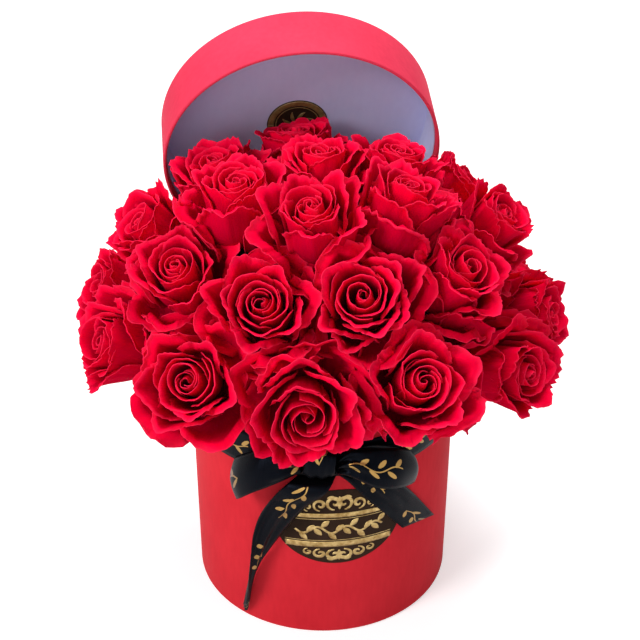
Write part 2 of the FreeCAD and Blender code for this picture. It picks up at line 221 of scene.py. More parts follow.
def leaf_finish():
    """Green of stems and sepals, paler in streaks"""
    made = Finish("rose_green", Specular_IOR_Level=0.4)
    streak = made.noise(made.stretched(made.place(), (1.0, 1.0, 0.2)), 420.0, 3.0)
    colour = made.ramp(streak, (0.3, srgb(20, 36, 14)), (0.7, srgb(44, 66, 26)))
    normal = made.bump(streak, 0.2, 0.5 * MM)
    return made.finish(Base_Color=colour, Roughness=made.levels(streak, 0.45, 0.62), Normal=normal)


def foam_finish():
    """Floral foam: dark green with open pores"""
    made = Finish("floral_foam", Specular_IOR_Level=0.15)
    place = made.place()
    pores = made.node("TexVoronoi", {"Vector": place, "Scale": 700.0}).outputs["Distance"]
    cloud = made.noise(place, 40.0, 3.0)
    colour = made.mix(made.levels(cloud, 0.2, 0.8), srgb(8, 16, 10), srgb(20, 34, 18))
    normal = made.bump(pores, 0.6, 0.8 * MM)
    return made.finish(Base_Color=colour, Roughness=made.levels(pores, 0.95, 0.8), Normal=normal)


def film_finish():
    """Milky waterproof film with faint creases"""
    made = Finish("liner_film", Specular_IOR_Level=0.5)
    crease = made.noise(made.place(), 60.0, 5.0, 0.7)
    colour = made.ramp(crease, (0.3, srgb(196, 202, 204)), (0.7, srgb(226, 230, 230)))
    normal = made.bump(crease, 0.3, 1.0 * MM)
    return made.finish(Base_Color=colour, Roughness=made.levels(crease, 0.16, 0.32), Normal=normal)


def foil_finish(name, metal, dark, light):
    """Printed gold: metal with a brushed, slightly worn tone"""
    made = Finish(name, Metallic=metal)
    place = made.place()
    wear = made.noise(place, 260.0, 4.0, 0.6)
    colour = made.ramp(wear, (0.28, dark), (0.72, light))
    normal = made.bump(made.noise(place, 1600.0, 2.0), 0.1, 0.2 * MM)
    return made.finish(Base_Color=colour, Roughness=made.levels(wear, 0.46, 0.30), Normal=normal)


def satin_finish():
    """Black satin ribbon: threads across and along, a soft sheen and a gold sprig print"""
    made = Finish("satin_ribbon", Specular_IOR_Level=0.06, Specular_Tint=srgb(190, 210, 255),
                  Anisotropic=0.8, Anisotropic_Rotation=0.25)
    axes = made.node("SeparateXYZ", {"Vector": made.uv()}).outputs
    across, along = axes["X"], axes["Y"]
    weft = made.math("SINE", made.times(along, 2 * math.pi / WEFT_PITCH))
    warp = made.math("SINE", made.times(across, 2 * math.pi / WARP_PITCH))
    thread = made.weighed(weft, 0.5, warp, 0.3)
    slub = made.noise(made.stretched(made.uv(), (40.0, 900.0, 1.0)), 1.0, 2.0)
    black = made.ramp(slub, (0.3, srgb(2, 2, 3)), (0.7, srgb(5, 5, 7)))
    gold = sprig_print(made, across, along)
    colour = made.mix(gold, black, srgb(160, 126, 72))
    rough = made.math("ADD", made.levels(slub, 0.24, 0.34), made.times(gold, 0.04))
    normal = made.bump(thread, 0.10, 0.2 * MM)
    return made.finish(Base_Color=colour, Roughness=rough, Metallic=gold, Normal=normal)


# Threads of the ribbon, from one to the next
WEFT_PITCH = 0.45 * MM
WARP_PITCH = 0.7 * MM
# Printed sprig: a wavy stalk with a leaf each side in turn, then a bare stretch
SPRIG_PITCH = 64 * MM
SPRIG_LENGTH = 33 * MM
SPRIG_WAVES = 1.5
SPRIG_WAVE = 1.6 * MM
SPRIG_STALK = 0.42 * MM
SPRIG_LEAF = (3.6 * MM, 1.35 * MM)
SPRIG_LEAVES = 6
SPRIG_FIRST_LEAF = 0.6
SPRIG_LEAF_OUT = 3.4 * MM
SPRIG_LEAF_TILT = 38


def sprig_print(made, across, along):
    """1 where the ribbon is printed, 0 where it is bare; across runs from the ribbon's middle line"""
    turn = made.times(along, 2 * math.pi / (SPRIG_LENGTH / SPRIG_WAVES))
    stalk = made.math("SUBTRACT", across, made.times(made.math("SINE", turn), SPRIG_WAVE))
    repeat = made.math("FRACT", made.math("DIVIDE", along, SPRIG_PITCH))
    step = made.times(repeat, SPRIG_PITCH)
    printed = made.math("LESS_THAN", made.math("ABSOLUTE", stalk), SPRIG_STALK)
    printed = made.times(printed, made.math("LESS_THAN", step, SPRIG_LENGTH))
    for index in range(SPRIG_LEAVES):
        side = 1 if index % 2 else -1
        middle = ((index + SPRIG_FIRST_LEAF) * SPRIG_LENGTH / SPRIG_LEAVES, side * SPRIG_LEAF_OUT)
        shape = spot(made, across, step, middle, SPRIG_LEAF, side * SPRIG_LEAF_TILT)
        printed = made.math("MAXIMUM", printed, shape)
    return printed


def spot(made, across, along, middle, half, tilt):
    """1 inside a tilted oval"""
    cos, sin = math.cos(math.radians(tilt)), math.sin(math.radians(tilt))
    x = made.math("SUBTRACT", along, middle[0])
    y = made.math("SUBTRACT", across, middle[1])
    far = made.weighed(x, cos / half[0], y, sin / half[0])
    wide = made.weighed(x, -sin / half[1], y, cos / half[1])
    return made.math("LESS_THAN", made.weighed(far, far, wide, wide), 1.0)


RED_PAPER = paper("red_paper", srgb(194, 35, 46), srgb(211, 44, 55))
# Painted light: the lid's red paper is the box's, painted lighter and pinker for the stronger light and
# highlight on the lid
LIT_LID_PAPER = paper("lit_lid_paper", srgb(210, 51, 77), srgb(226, 62, 88))
GREY_BOARD = paper("grey_board", srgb(150, 142, 132), srgb(182, 174, 164), 500.0, (0.7, 0.85), 0.3)
LINING_PAPER = paper("lining_paper", srgb(202, 207, 248), srgb(212, 217, 255), 700.0, (0.6, 0.75), 0.08)
# Painted shade: the lid wall's lining is the panel's lining paper painted a little darker
SHADED_WALL_LINING = paper("wall_lining", srgb(184, 186, 220), srgb(196, 198, 232), 700.0, (0.6, 0.75), 0.08)
BLACK_PAPER = paper("black_paper", srgb(38, 26, 18), srgb(54, 38, 29), 900.0, (0.42, 0.55), 0.06)
PETAL = petal_finish()
GREEN = leaf_finish()
FOAM = foam_finish()
FILM = film_finish()
FOIL = foil_finish("gold_foil", 1.0, srgb(124, 96, 50), srgb(196, 170, 116))
DULL_FOIL = foil_finish("dull_gold", 0.3, srgb(104, 82, 42), srgb(156, 132, 82))
SATIN = satin_finish()


# Meshes

def add_piece(name, verts, faces, material, body, slot, replaced=(), uv=None, painted_light_and_tone=None):
    """A mesh piece that rides on a body, in place of CAD nodes if any are named"""
    mesh = bpy.data.meshes.new(name)
    mesh.from_pydata(verts.tolist(), [], faces)
    mesh.shade_smooth()
    corners = np.zeros(len(mesh.loops), np.int32)
    mesh.loops.foreach_get("vertex_index", corners)
    if uv is not None:
        layer = mesh.uv_layers.new(name="UVMap")
        layer.data.foreach_set("uv", np.asarray(uv, np.float32)[corners].ravel())
    # Painted shade, highlight and tone of a petal's points, kept as a colour on them
    if painted_light_and_tone is not None:
        colours = mesh.color_attributes.new("petal", "FLOAT_COLOR", "POINT")
        colours.data.foreach_set("color", np.asarray(painted_light_and_tone, np.float32).ravel())
    mesh.materials.append(material)
    made = bpy.data.objects.new(name, mesh)
    bpy.context.scene.collection.objects.link(made)
    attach(made, body)
    if replaced:
        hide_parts(*replaced)
    return made


def unit(vectors):
    return vectors / (np.linalg.norm(vectors, axis=-1, keepdims=True) + 1e-12)


def grid_normals(points):
    return unit(np.cross(np.gradient(points, axis=0), np.gradient(points, axis=1)))


def sheet_faces(rows, cols):
    """Faces of a closed sheet whose front grid is followed by its back grid"""
    at = np.arange(rows * cols).reshape(rows, cols)
    front = stacked(at[:-1, :-1], at[1:, :-1], at[1:, 1:], at[:-1, 1:]).reshape(-1, 4)
    both = np.stack([front, front[:, ::-1] + at.size], axis=1).reshape(-1, 4)
    rim = np.concatenate([at[:, 0], at[-1, 1:], at[-2::-1, -1], at[0, -2:0:-1]])
    ahead = np.roll(rim, -1)
    sides = stacked(ahead, rim, rim + at.size, ahead + at.size)
    return np.concatenate([both, sides]).tolist()


def sheet_points(front, thickness):
    """Front grid and back grid of a closed sheet, one after the other"""
    back = front - grid_normals(front) * thickness
    return np.concatenate([front.reshape(-1, 3), back.reshape(-1, 3)])


class Gather:
    """Vertices and faces of several forms that make one mesh"""

    def __init__(self):
        self.points, self.faces, self.extras = [], [], []
        self.count = 0

    def add(self, points, faces, *extras):
        """Extras are the places on the UV map and the painted shade, highlight and tone of the points,
        for forms that have them
        """
        self.faces += [[index + self.count for index in face] for face in faces]
        self.count += len(points)
        self.points.append(points)
        self.extras.append(extras)

    def piece(self, name, material, body, slot, replaced=()):
        points = np.concatenate(self.points)
        extras = [np.concatenate(rows) for rows in zip(*self.extras)]
        add_piece(name, points, self.faces, material, body, slot, replaced, *extras)


def lathe(outline, angles):
    """A closed ring turned about Z from a closed outline of radius and height pairs, at each angle"""
    r, z = np.array(outline).T
    turns = np.radians(angles)[:, None]
    points = stacked(r * np.cos(turns), r * np.sin(turns), z).reshape(-1, 3)
    at = np.arange(len(points)).reshape(len(angles), -1)
    ahead, up = np.roll(at, -1, axis=0), np.roll(at, -1, axis=1)
    faces = stacked(at, ahead, np.roll(ahead, -1, axis=1), up).reshape(-1, 4)
    return points, faces.tolist()


CORNER_STEPS = 4


def rounded(corners, radius):
    """A closed outline with its corners rounded by short arcs"""
    corners = np.array(corners, float)
    made = []
    for before, here, after in zip(np.roll(corners, 1, axis=0), corners, np.roll(corners, -1, axis=0)):
        ways = [before - here, after - here]
        reach = min(radius, *(0.45 * np.linalg.norm(way) for way in ways))
        start, end = (here + way / np.linalg.norm(way) * reach for way in ways)
        for t in np.linspace(0, 1, CORNER_STEPS + 1):
            made.append((1 - t) ** 2 * start + 2 * t * (1 - t) * here + t ** 2 * end)
    return made


# Box: a wrapped board tube, its paper lapped in a seam at the back

# The seam's place, width and steps in degrees, and its height
SEAM_TURN = 90.0
SEAM_WIDTH = 9.0
SEAM_STEP = 0.25
SEAM_LIFT = 0.25 * MM
EDGE_ROUND = 0.9 * MM


def box_shell():
    low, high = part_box("box_wall")
    inner = high.x - BOX_BOARD
    corners = [(high.x, low.z), (high.x, high.z), (inner, high.z), (inner, low.z)]
    half = SEAM_WIDTH / 2
    seam = [SEAM_TURN + side for side in (-half, SEAM_STEP - half, half - SEAM_STEP, half)]
    angles = sorted(set(np.arange(0, 360, ROUND_STEP).tolist() + seam))
    points, faces = lathe(rounded(corners, EDGE_ROUND), angles)
    turn = np.degrees(np.arctan2(points[:, 1], points[:, 0]))
    radius = np.hypot(points[:, 0], points[:, 1])
    outside = radius > high.x - 0.5 * EDGE_ROUND
    lapped = (np.abs(turn - SEAM_TURN) < half - SEAM_STEP / 2) & outside
    points[lapped, :2] *= ((radius[lapped] + SEAM_LIFT) / radius[lapped])[:, None]
    add_piece("box_shell", points, faces, RED_PAPER, "box", "red_board", ("box_wall",))


# Lid: found from its own nodes, because it leans

def lid_frame():
    """Middle of the lid's mouth, and its axis into the lid"""
    joint = [j for j in frame["joints"] if j["name"] == "lid_lift_off"][0]
    axis = Vector(joint["axis"]).normalized()
    spots = np.array([v.co for v in frame["nodes"]["lid_wall"].data.vertices])
    depth = spots @ np.array(axis)
    low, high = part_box("lid_wall")
    middle = (low + high) / 2
    return middle + axis * (depth.min() - middle.dot(axis)), axis, float(depth.max() - depth.min())


LID_MOUTH, LID_AXIS, LID_DEPTH = lid_frame()
LID_TURN = LID_AXIS.to_track_quat("Z", "Y").to_matrix()
LID_R = 93 * MM
LID_BOARD = 2.2 * MM
LID_EDGE_ROUND = 1.1 * MM


def in_lid(points):
    """Points about the lid's own axis, height measured in from its mouth, put in place"""
    return points @ np.array(LID_TURN).T + np.array(LID_MOUTH)


def lid_shell():
    inner = LID_R - LID_BOARD
    back, front = LID_DEPTH, LID_DEPTH - LID_BOARD
    # The panel closes on a tiny ring, and rings near its middle and its rim keep its shading flat
    pole, eye, rim = 0.002 * MM, 0.5 * MM, inner - 2 * MM
    corners = [(LID_R, 0), (LID_R, back), (rim, back), (eye, back), (pole, back),
               (pole, front), (eye, front), (rim, front), (inner, front), (inner, 0)]
    points, faces = lathe(rounded(corners, LID_EDGE_ROUND), np.arange(0, 360, ROUND_STEP))
    add_piece("lid_shell", in_lid(points), faces, LIT_LID_PAPER, "lid", "red_board",
              ("lid_wall", "lid_panel"))


# Roses

STEM_R = 2.5 * MM
RIM_GAP = 1.2 * MM
SKIRT_R = 105.7 * MM
DOME_R = 88.9 * MM
DOME_MIDDLE = Vector((0, 0, 203.7 * MM))
# Azimuth and rise of each stem, azimuth and rise that the flower faces, and how far the flower is moved
# out along its stem and up, in millimetres
SKIRT = (
    (-132, 0, -132, 16, 0, 0), (-104, -2, -74, 30, 4, 4), (-76, -5, -66, 24, 2, 3),
    (-41, 6, -19, 34, 1, 6), (-11, 5, -5, 12, 0, 3), (17.5, 7, 9, 42, -3, 7), (54, -13, 37, 18, 0, 0),
    (84, -14, 60, 18, 5, 4), (116, -3, 106, 32, 3, 7), (146, 0, 146, 14, 0, 0),
)
DOME = (
    (-98, 26, -72, 44, 4, 0), (-60, 26, -22, 54, 2, 3), (-26, 26, -10, 42, 1, 2),
    (6, 28.5, -12, 42, 1, 3), (42, 27, 34, 54, 4, 2), (74.5, 31.5, 60, 48, 6, 1),
    (-106, 53, -80, 76, -6, -3), (-57.5, 55, -20, 78, 0, -2), (-11, 52.5, -20, 66, 1, 0),
    (35, 54, 70, 72, 3, -2),
)
CROWN = (
    (105, 37.5, 84, 40, 6, -3), (81, 66, 80, 78, 0, -3), (-13, 82, 0, 86, -4, -3),
    (-170, 59, -160, 84, -1, -3),
)
REAR = ((-141, 44.5, -135, 50, -4, -4), (150, 52, 145, 60, -10, -6))
FAMILY_SIZE = {
    "skirt": (37 * MM, 51 * MM),
    "dome": (35 * MM, 50 * MM),
    "crown": (33 * MM, 40 * MM),
    "rear": (26 * MM, 40 * MM),
}
# Share of a head's height about which it turns from its stem to the way it faces
HEAD_MIDDLE = 0.52


class Head:
    """One rose: its foot, the way it faces and its size"""

    def __init__(self, number, family, azimuth, rise, face_azimuth, face_rise, out, up):
        self.number = number
        self.hangs = family == "skirt"
        self.guard_reach = GUARD_REACH["skirt" if self.hangs else "other"]
        self.hanging_openness = HANGING_OPENNESS["side" if abs(azimuth) > SIDE_FROM else "front"]
        self.radius, self.height = FAMILY_SIZE[family]
        self.stem = direction(azimuth, rise)
        self.axis = direction(face_azimuth, face_rise)
        if self.hangs:
            slope = math.tan(math.radians(rise))
            half = STEM_R / math.cos(math.radians(rise))
            drop = max((SKIRT_R - BOX_R + BOX_BOARD) * slope, (SKIRT_R - BOX_R) * slope)
            level = BOX_HEIGHT + RIM_GAP + half + drop
            self.stem_foot = direction(azimuth, 0) * SKIRT_R + Vector((0, 0, level))
        else:
            self.stem_foot = DOME_MIDDLE + self.stem * DOME_R
        moved = self.stem * (out * MM) + Vector((0, 0, up * MM))
        middle = self.stem_foot + self.stem * (HEAD_MIDDLE * self.height) + moved
        self.foot = middle - self.axis * (HEAD_MIDDLE * self.height)


# Petals are set out from the innermost, openness 0, to the outermost of the cup, openness 1, and the
# guard petals beneath it, up to 1.25. Each trait below goes with these steps of openness
OPENNESS = (0.0, 0.3, 0.55, 0.8, 1.0, 1.25)
# Cup from foot to rim as four control points, radius and height shares of the head
CUPS = np.array((
    ((0.04, 0.10), (0.15, 0.30), (0.14, 0.70), (0.03, 0.90)),
    ((0.06, 0.08), (0.46, 0.20), (0.30, 0.70), (0.36, 0.94)),
    ((0.08, 0.06), (0.56, 0.12), (0.44, 0.62), (0.62, 0.99)),
    ((0.09, 0.04), (0.70, 0.05), (0.60, 0.52), (0.86, 0.93)),
    ((0.10, 0.02), (0.84, 0.00), (0.78, 0.38), (1.04, 0.75)),
    ((0.10, 0.00), (0.80, -0.14), (1.10, 0.04), (1.20, 0.36)),
))
HALF_ANGLE = (128, 100, 66, 56, 52, 54)
SPIRAL = (0.38, 0.17, 0.10, 0.08, 0.07, 0.05)
# Drop of the rim from the tip to the sides, straight and then rounded, as shares of the petal's length
SLOPE = (0.03, 0.06, 0.11, 0.15, 0.17, 0.16)
SHOULDER = (0.05, 0.08, 0.15, 0.22, 0.26, 0.30)
# How much the petal is folded along its middle towards its tip, where 1 gives the corner of a polygon
KEEL = (0.0, 0.35, 0.85, 1.0, 1.0, 0.7)
# Margin rolled back: its width and radius in millimetres, and the most that it turns
ROLL = (0.6, 1.2, 2.2, 3.8, 6.4, 6.0)
ROLL_R = (1.2, 0.9, 0.9, 1.1, 1.3, 2.5)
ROLL_TURN = (10, 26, 48, 66, 80, 60)
# Waves and crimps of the margin and creases down the petal, in millimetres, and nicks as a share of its
# length
RUFFLE = (0.12, 0.28, 0.46, 0.74, 1.15, 2.0)
CRIMP = (0.04, 0.15, 0.28, 0.42, 0.60, 0.85)
NICK = (0.003, 0.008, 0.013, 0.018, 0.024, 0.028)
CREASE = (0.0, 0.06, 0.12, 0.18, 0.22, 0.26)
# Petals of the bud, the middle and the outside of a rose and its guard petals: how many, their openness,
# and their steps of grid across and along
WHORLS = ((6, 0.0, 0.24, 21, 14), (5, 0.31, 0.53, 29, 18), (8, 0.60, 1.0, 33, 24))
GUARDS = (5, 1.10, 1.25, 23, 16)
# How far round from the top of a head its guard petals go: on the skirt they leave the underside bare
GUARD_REACH = {"skirt": 112, "other": 144}
# Petals of the skirt within this angle of straight down would hang loose, so their openness is limited:
# more on the heads that are further round than the angle of the side
HANGING = 62
HANGING_OPENNESS = {"front": 0.90, "side": 0.72}
SIDE_FROM = 50
RIM_CROWDING = 1.8
GOLDEN = 137.5
PETAL_THICK = 0.38 * MM
# Width within which a petal is painted brighter towards its rim, as painted light
RIM_LIGHT_BAND = 9 * MM
# Width of the painted highlight along a petal's margin
EDGE_HIGHLIGHT_BAND = 0.8 * MM
# Chance in each petal: spreads of its cup's radius and height, its tip, its lean and its skew, ranges of
# its span, the corner of its fold and its rolled margin, and limits of its nicks
CUP_SPREAD = (0.035, 0.025)
TIP_SPREAD = 0.13
LEAN_SPREAD = 0.035
SKEW_SPREAD = 0.03
SPAN_RANGE = (0.90, 1.10)
CORNER_RANGE = (30, 40)
ROLL_RANGE = (0.35, 1.35)
ROLL_SLANT = 0.45
ROLL_TURN_RANGE = (0.75, 1.3)
NICK_LIMITS = (-2.0, 0.8)
# Waves along the rim, each a rate and a height, and how far in they reach
RIM_WAVES = ((7, 0.010), (12, 0.008))
RUFFLE_WAVES = ((4.2, 1.0), (9.5, 0.6))
CRIMP_WAVES = ((14, 1.0), (22, 0.9))
RUFFLE_DEPTH = 13 * MM
CRIMP_DEPTH = 4 * MM
EDGE_SOFT = 1.2 * MM
# Chance in each head, and its turn in radians from that of the one before
ROSE_SEED = 500
OPENING_SPREAD = 0.08
HEAD_TURN = 1.9

FAMILIES = {"skirt": SKIRT, "dome": DOME, "crown": CROWN, "rear": REAR}
ROWS = [(family, *row) for family, rows in FAMILIES.items() for row in rows]
HEADS = [Head(number, *row) for number, row in enumerate(ROWS, start=1)]


def cubic(t):
    """Weights of the four control points of a curve"""
    return (1 - t) ** 3, 3 * t * (1 - t) ** 2, 3 * t ** 2 * (1 - t), t ** 3


def cup_line(cup, s):
    """Radius and height at each share of a petal's length, and the petal's whole length"""
    parts = cubic(s)
    slopes = (-3 * (1 - s) ** 2, 3 * (1 - s) * (1 - 3 * s), 3 * s * (2 - 3 * s), 3 * s ** 2)
    r, z = (sum(part * point[axis] for part, point in zip(parts, cup)) for axis in (0, 1))
    run = [sum(slope * point[axis] for slope, point in zip(slopes, cup)) for axis in (0, 1)]
    return r, z, float(np.hypot(*run).mean())


def margin_frame(points, edge):
    """Unit vectors towards the margin of a sheet and off its outer side"""
    across, up = np.gradient(points, axis=0), np.gradient(points, axis=1)
    edge_across, edge_up = np.gradient(edge, axis=0), np.gradient(edge, axis=1)
    pairs = ((across, across), (across, up), (up, up))
    aa, ab, bb = ((one * two).sum(axis=-1) for one, two in pairs)
    by_across = bb * edge_across - ab * edge_up
    by_up = aa * edge_up - ab * edge_across
    fall = by_across[..., None] * across + by_up[..., None] * up
    return -unit(fall), unit(np.cross(across, up))


def rolled(points, edge, width, radius, most):
    """A sheet with its margin rolled back over its outer side"""
    past = np.clip(width - edge, 0, None)
    turn = np.minimum(past / radius, most)
    straight = past - radius * turn
    ahead, outward = margin_frame(points, edge)
    along = radius * np.sin(turn) + straight * np.cos(turn) - past
    out = radius * (1 - np.cos(turn)) + straight * np.sin(turn)
    return points + ahead * along[..., None] + outward * out[..., None]


def wavy(rng, u, waves):
    """A sum of waves along the rim, each with its own phase"""
    return sum(height * np.sin(rate * u + rng.uniform(0, 2 * math.pi)) for rate, height in waves)


def rose_petal(rng, openness, radius, height, turn, across, along):
    """Outer side of a petal about Z as a grid, its distance to the margin and its steps of length"""
    def of(table):
        return float(np.interp(openness, OPENNESS, table))

    u = np.linspace(-1, 1, across)[:, None]
    v = 1 - (1 - np.linspace(0, 1, along)[None, :]) ** RIM_CROWDING
    cup = np.array([[of(CUPS[:, i, j]) for j in (0, 1)] for i in range(4)])
    cup = cup * (radius, height) * tuple(1 + rng.normal(0, spread) for spread in CUP_SPREAD)
    tip_at = rng.normal(0, TIP_SPREAD)
    off_tip = np.sqrt((u - tip_at) ** 2 + 0.0025)
    nicks = of(NICK) * np.clip(rng.normal(0, 1, (across, 1)) ** 3, *NICK_LIMITS)
    shoulder = of(SHOULDER) * smooth_step(0.4, 1.15, np.abs(u)) ** 1.2
    reach = 1 - of(SLOPE) * off_tip - shoulder
    reach = reach + openness * wavy(rng, u, RIM_WAVES) + nicks
    r, z, length = cup_line(cup, v * reach)
    half = math.radians(of(HALF_ANGLE) * rng.uniform(*SPAN_RANGE))
    to_top = (1 - v) * reach * length
    to_side = (1 - np.abs(u)) * half * r + (1 - smooth_step(0.25, 0.6, v)) * 0.1
    edge = -EDGE_SOFT * np.log(np.exp(-to_top / EDGE_SOFT) + np.exp(-to_side / EDGE_SOFT))
    corner = math.radians(rng.uniform(*CORNER_RANGE))
    bend = math.cos(corner) / np.cos(corner - np.minimum(off_tip * half, 1.15 * corner)) - 1
    fold = 1 + of(KEEL) * bend * smooth_step(0.3, 0.95, v)
    lean = rng.normal(0, LEAN_SPREAD) * openness * z
    skew = rng.normal(0, SKEW_SPREAD) * height * u * v
    angle = turn + u * half * (0.62 + 0.38 * smooth_step(0, 0.7, v))
    r = (r + lean) * (1 + of(SPIRAL) * u) * fold
    points = stacked(r * np.cos(angle), r * np.sin(angle), z + skew)
    width = of(ROLL) * MM * rng.uniform(*ROLL_RANGE)
    width = width * (1 + rng.uniform(-ROLL_SLANT, ROLL_SLANT) * u)
    most = math.radians(of(ROLL_TURN)) * rng.uniform(*ROLL_TURN_RANGE)
    points = rolled(points, edge, width, of(ROLL_R) * MM, most)
    near = [np.clip(1 - edge / depth, 0, 1) for depth in (RUFFLE_DEPTH, CRIMP_DEPTH)]
    ruffle = of(RUFFLE) * wavy(rng, u, RUFFLE_WAVES) * near[0]
    crimp = of(CRIMP) * wavy(rng, u, CRIMP_WAVES) * near[1]
    crease = of(CREASE) * rng.normal(0, 1, (across, 1)) * smooth_step(0.2, 0.7, v)
    points = points + grid_normals(points) * ((ruffle + crimp + crease) * MM)[..., None]
    return points, edge, v


def petal_plan(head, place, hand):
    """Openness, turn in degrees and steps of grid of every petal of a head, from the bud out"""
    upward = place.transposed() @ Vector((0, 0, 1))
    top = hand * math.degrees(math.atan2(upward.y, upward.x))
    plan = []
    for count, first, last, across, along in WHORLS:
        for step in np.linspace(first, last, count):
            turn = GOLDEN * len(plan)
            off_bottom = abs((turn - top) % 360 - 180)
            if head.hangs and off_bottom < HANGING:
                step = min(step, head.hanging_openness)
            plan.append((step, turn, across, along))
    count, first, last, across, along = GUARDS
    asides = np.linspace(-head.guard_reach, head.guard_reach, count)
    for step, aside in zip(np.linspace(first, last, count), asides):
        plan.append((step, top + aside, across, along))
    return plan


def rose(head):
    """A whole rose of petals set out by the golden angle, from its bud to its open outer petals"""
    rng = np.random.default_rng(ROSE_SEED + head.number)
    form = Gather()
    opening = rng.uniform(-OPENING_SPREAD, OPENING_SPREAD)
    hand = 1 if head.number % 3 else -1
    spin = Matrix.Rotation(head.number * HEAD_TURN, 3, "Z")
    place = head.axis.to_track_quat("Z", "Y").to_matrix() @ spin
    for index, (step, turn, across, along) in enumerate(petal_plan(head, place, hand)):
        openness = float(step + opening * max(step * (1 - step), 0) * 4)
        turn = math.radians(turn + rng.normal(0, 10 + 6 * step))
        front, edge, v = rose_petal(rng, openness, head.radius, head.height, turn, across, along)
        front[..., :2] += rng.normal(0, 0.02, 2) * head.radius * (1 - step)
        front[..., 1] *= hand
        points = sheet_points(front, PETAL_THICK) @ np.array(place).T + np.array(head.foot)
        # Painted shade and light: darker towards the petal's foot and away from its rim, brighter near
        # its rim
        depth = 0.55 * v ** 1.5 + 0.45 * np.clip(1 - edge / RIM_LIGHT_BAND, 0, 1)
        # Painted highlight: pale along the petal's margin
        pale = np.exp(-np.clip(edge, 0, None) / EDGE_HIGHLIGHT_BAND)
        painted_light_and_tone = stacked(depth, pale, rng.uniform(0, 1), 1.0).reshape(-1, 4)
        uv = stacked(np.linspace(0, 1, across)[:, None] + index, v).reshape(-1, 2)
        form.add(points, sheet_faces(across, along), np.tile(uv, (2, 1)), np.tile(painted_light_and_tone, (2, 1)))
    form.piece("head_%02d" % head.number, PETAL, "box", "rose_petals", ("rose_%02d" % head.number,))


# Stems, each with its green cup and five sepals

STEM_SIDES = 10
STEM_DEPTH = 38 * MM
# Share of the stem's radius at each step, up to the green cup
STEM_SWELL = (1, 1, 1, 1, 1, 1, 1.05, 1.25, 1.8, 2.1)
STEM_SEED = 900
SEPALS = 5
SEPAL_GRID = (5, 8)
SEPAL_THICK = 0.5 * MM


def bezier(points, count):
    weights = cubic(np.linspace(0, 1, count)[:, None])
    return sum(weight * np.array(point, float) for weight, point in zip(weights, points))


def tube(path, radii):
    """A closed tube along a path, with flat ends"""
    ahead = unit(np.gradient(path, axis=0))
    helper = (0.0, 0.0, 1.0) if abs(ahead[0][2]) < 0.9 else (1.0, 0.0, 0.0)
    side = unit(np.cross(ahead, helper))
    up = np.cross(side, ahead)
    turns = np.linspace(0, 2 * math.pi, STEM_SIDES, endpoint=False)
    rings = [p + r * (np.cos(turns)[:, None] * s + np.sin(turns)[:, None] * w)
             for p, r, s, w in zip(path, radii, side, up)]
    at = np.arange(len(path) * STEM_SIDES).reshape(-1, STEM_SIDES)
    aside = np.roll(at, -1, axis=1)
    faces = stacked(at[:-1], aside[:-1], aside[1:], at[1:]).reshape(-1, 4).tolist()
    return np.concatenate(rings), faces + [at[0, ::-1].tolist(), at[-1].tolist()]


def sepal(turn, rng):
    """A pointed green leaf that starts under the petals and bends back"""
    u = np.linspace(-1, 1, SEPAL_GRID[0])[:, None]
    t = np.linspace(0, 1, SEPAL_GRID[1])[None, :]
    width = 3.6 * MM * (1 - t) ** 0.8 * (0.75 + 0.9 * t)
    bend = rng.uniform(0.9, 1.5)
    r = 4.5 * MM + 15 * MM * np.sin(np.minimum(t * bend, 1.5)) / bend
    z = 1 * MM - 9 * MM * (1 - np.cos(t * bend)) - 1.2 * MM * (1 - u ** 2)
    angle = turn + u * width / r
    return stacked(r * np.cos(angle), r * np.sin(angle), z)


def stems():
    form = Gather()
    for head in HEADS:
        rng = np.random.default_rng(STEM_SEED + head.number)
        start = head.stem_foot - head.stem * STEM_DEPTH
        reach = 0.4 * (head.foot - start).length
        route = (start, start + head.stem * reach, head.foot - head.axis * (0.6 * reach), head.foot)
        path = bezier(route, len(STEM_SWELL))
        form.add(*tube(path, STEM_R * np.array(STEM_SWELL)))
        place = np.array(head.axis.to_track_quat("Z", "Y").to_matrix())
        for index in range(SEPALS):
            front = sepal(math.radians(360 / SEPALS * index) + rng.normal(0, 0.15), rng)
            leaf = sheet_points(front, SEPAL_THICK) @ place.T + np.array(head.foot)
            form.add(leaf, sheet_faces(*SEPAL_GRID))
    form.piece("stalks_and_sepals", GREEN, "box", "rose_stems", ("rose_stems",))


# Ribbon: the band and the bow are drawn as in the model, in degrees round and millimetres, but for the
# fronts of the loops, which are tipped up

RIBBON_WIDTH = 25.0
RIBBON_MIDDLE = 144.0
KNOT_TURN = -8.0
KNOT_SIDE = 6.48
BOW_R = 91.2
CLOTH = 0.6 * MM
BAND_STEP = 2.5
BAND_SIDES = 9
STRIP_SIDES = 13
# Pleats across a strip, the most that it is drawn together for them, and their most height
PLEATS = 2.5
MOST_SPARE = 1.2
MOST_PLEAT = 2.4 * MM
# Half the knot's width, depth and height, how far out it sits, and the length of print before it
KNOT_HALF = (10 * MM, 6.3 * MM, 9.6 * MM)
KNOT_OUT = 6.5
KNOT_PRINT = 31
KNOT_GRID = (49, 17)
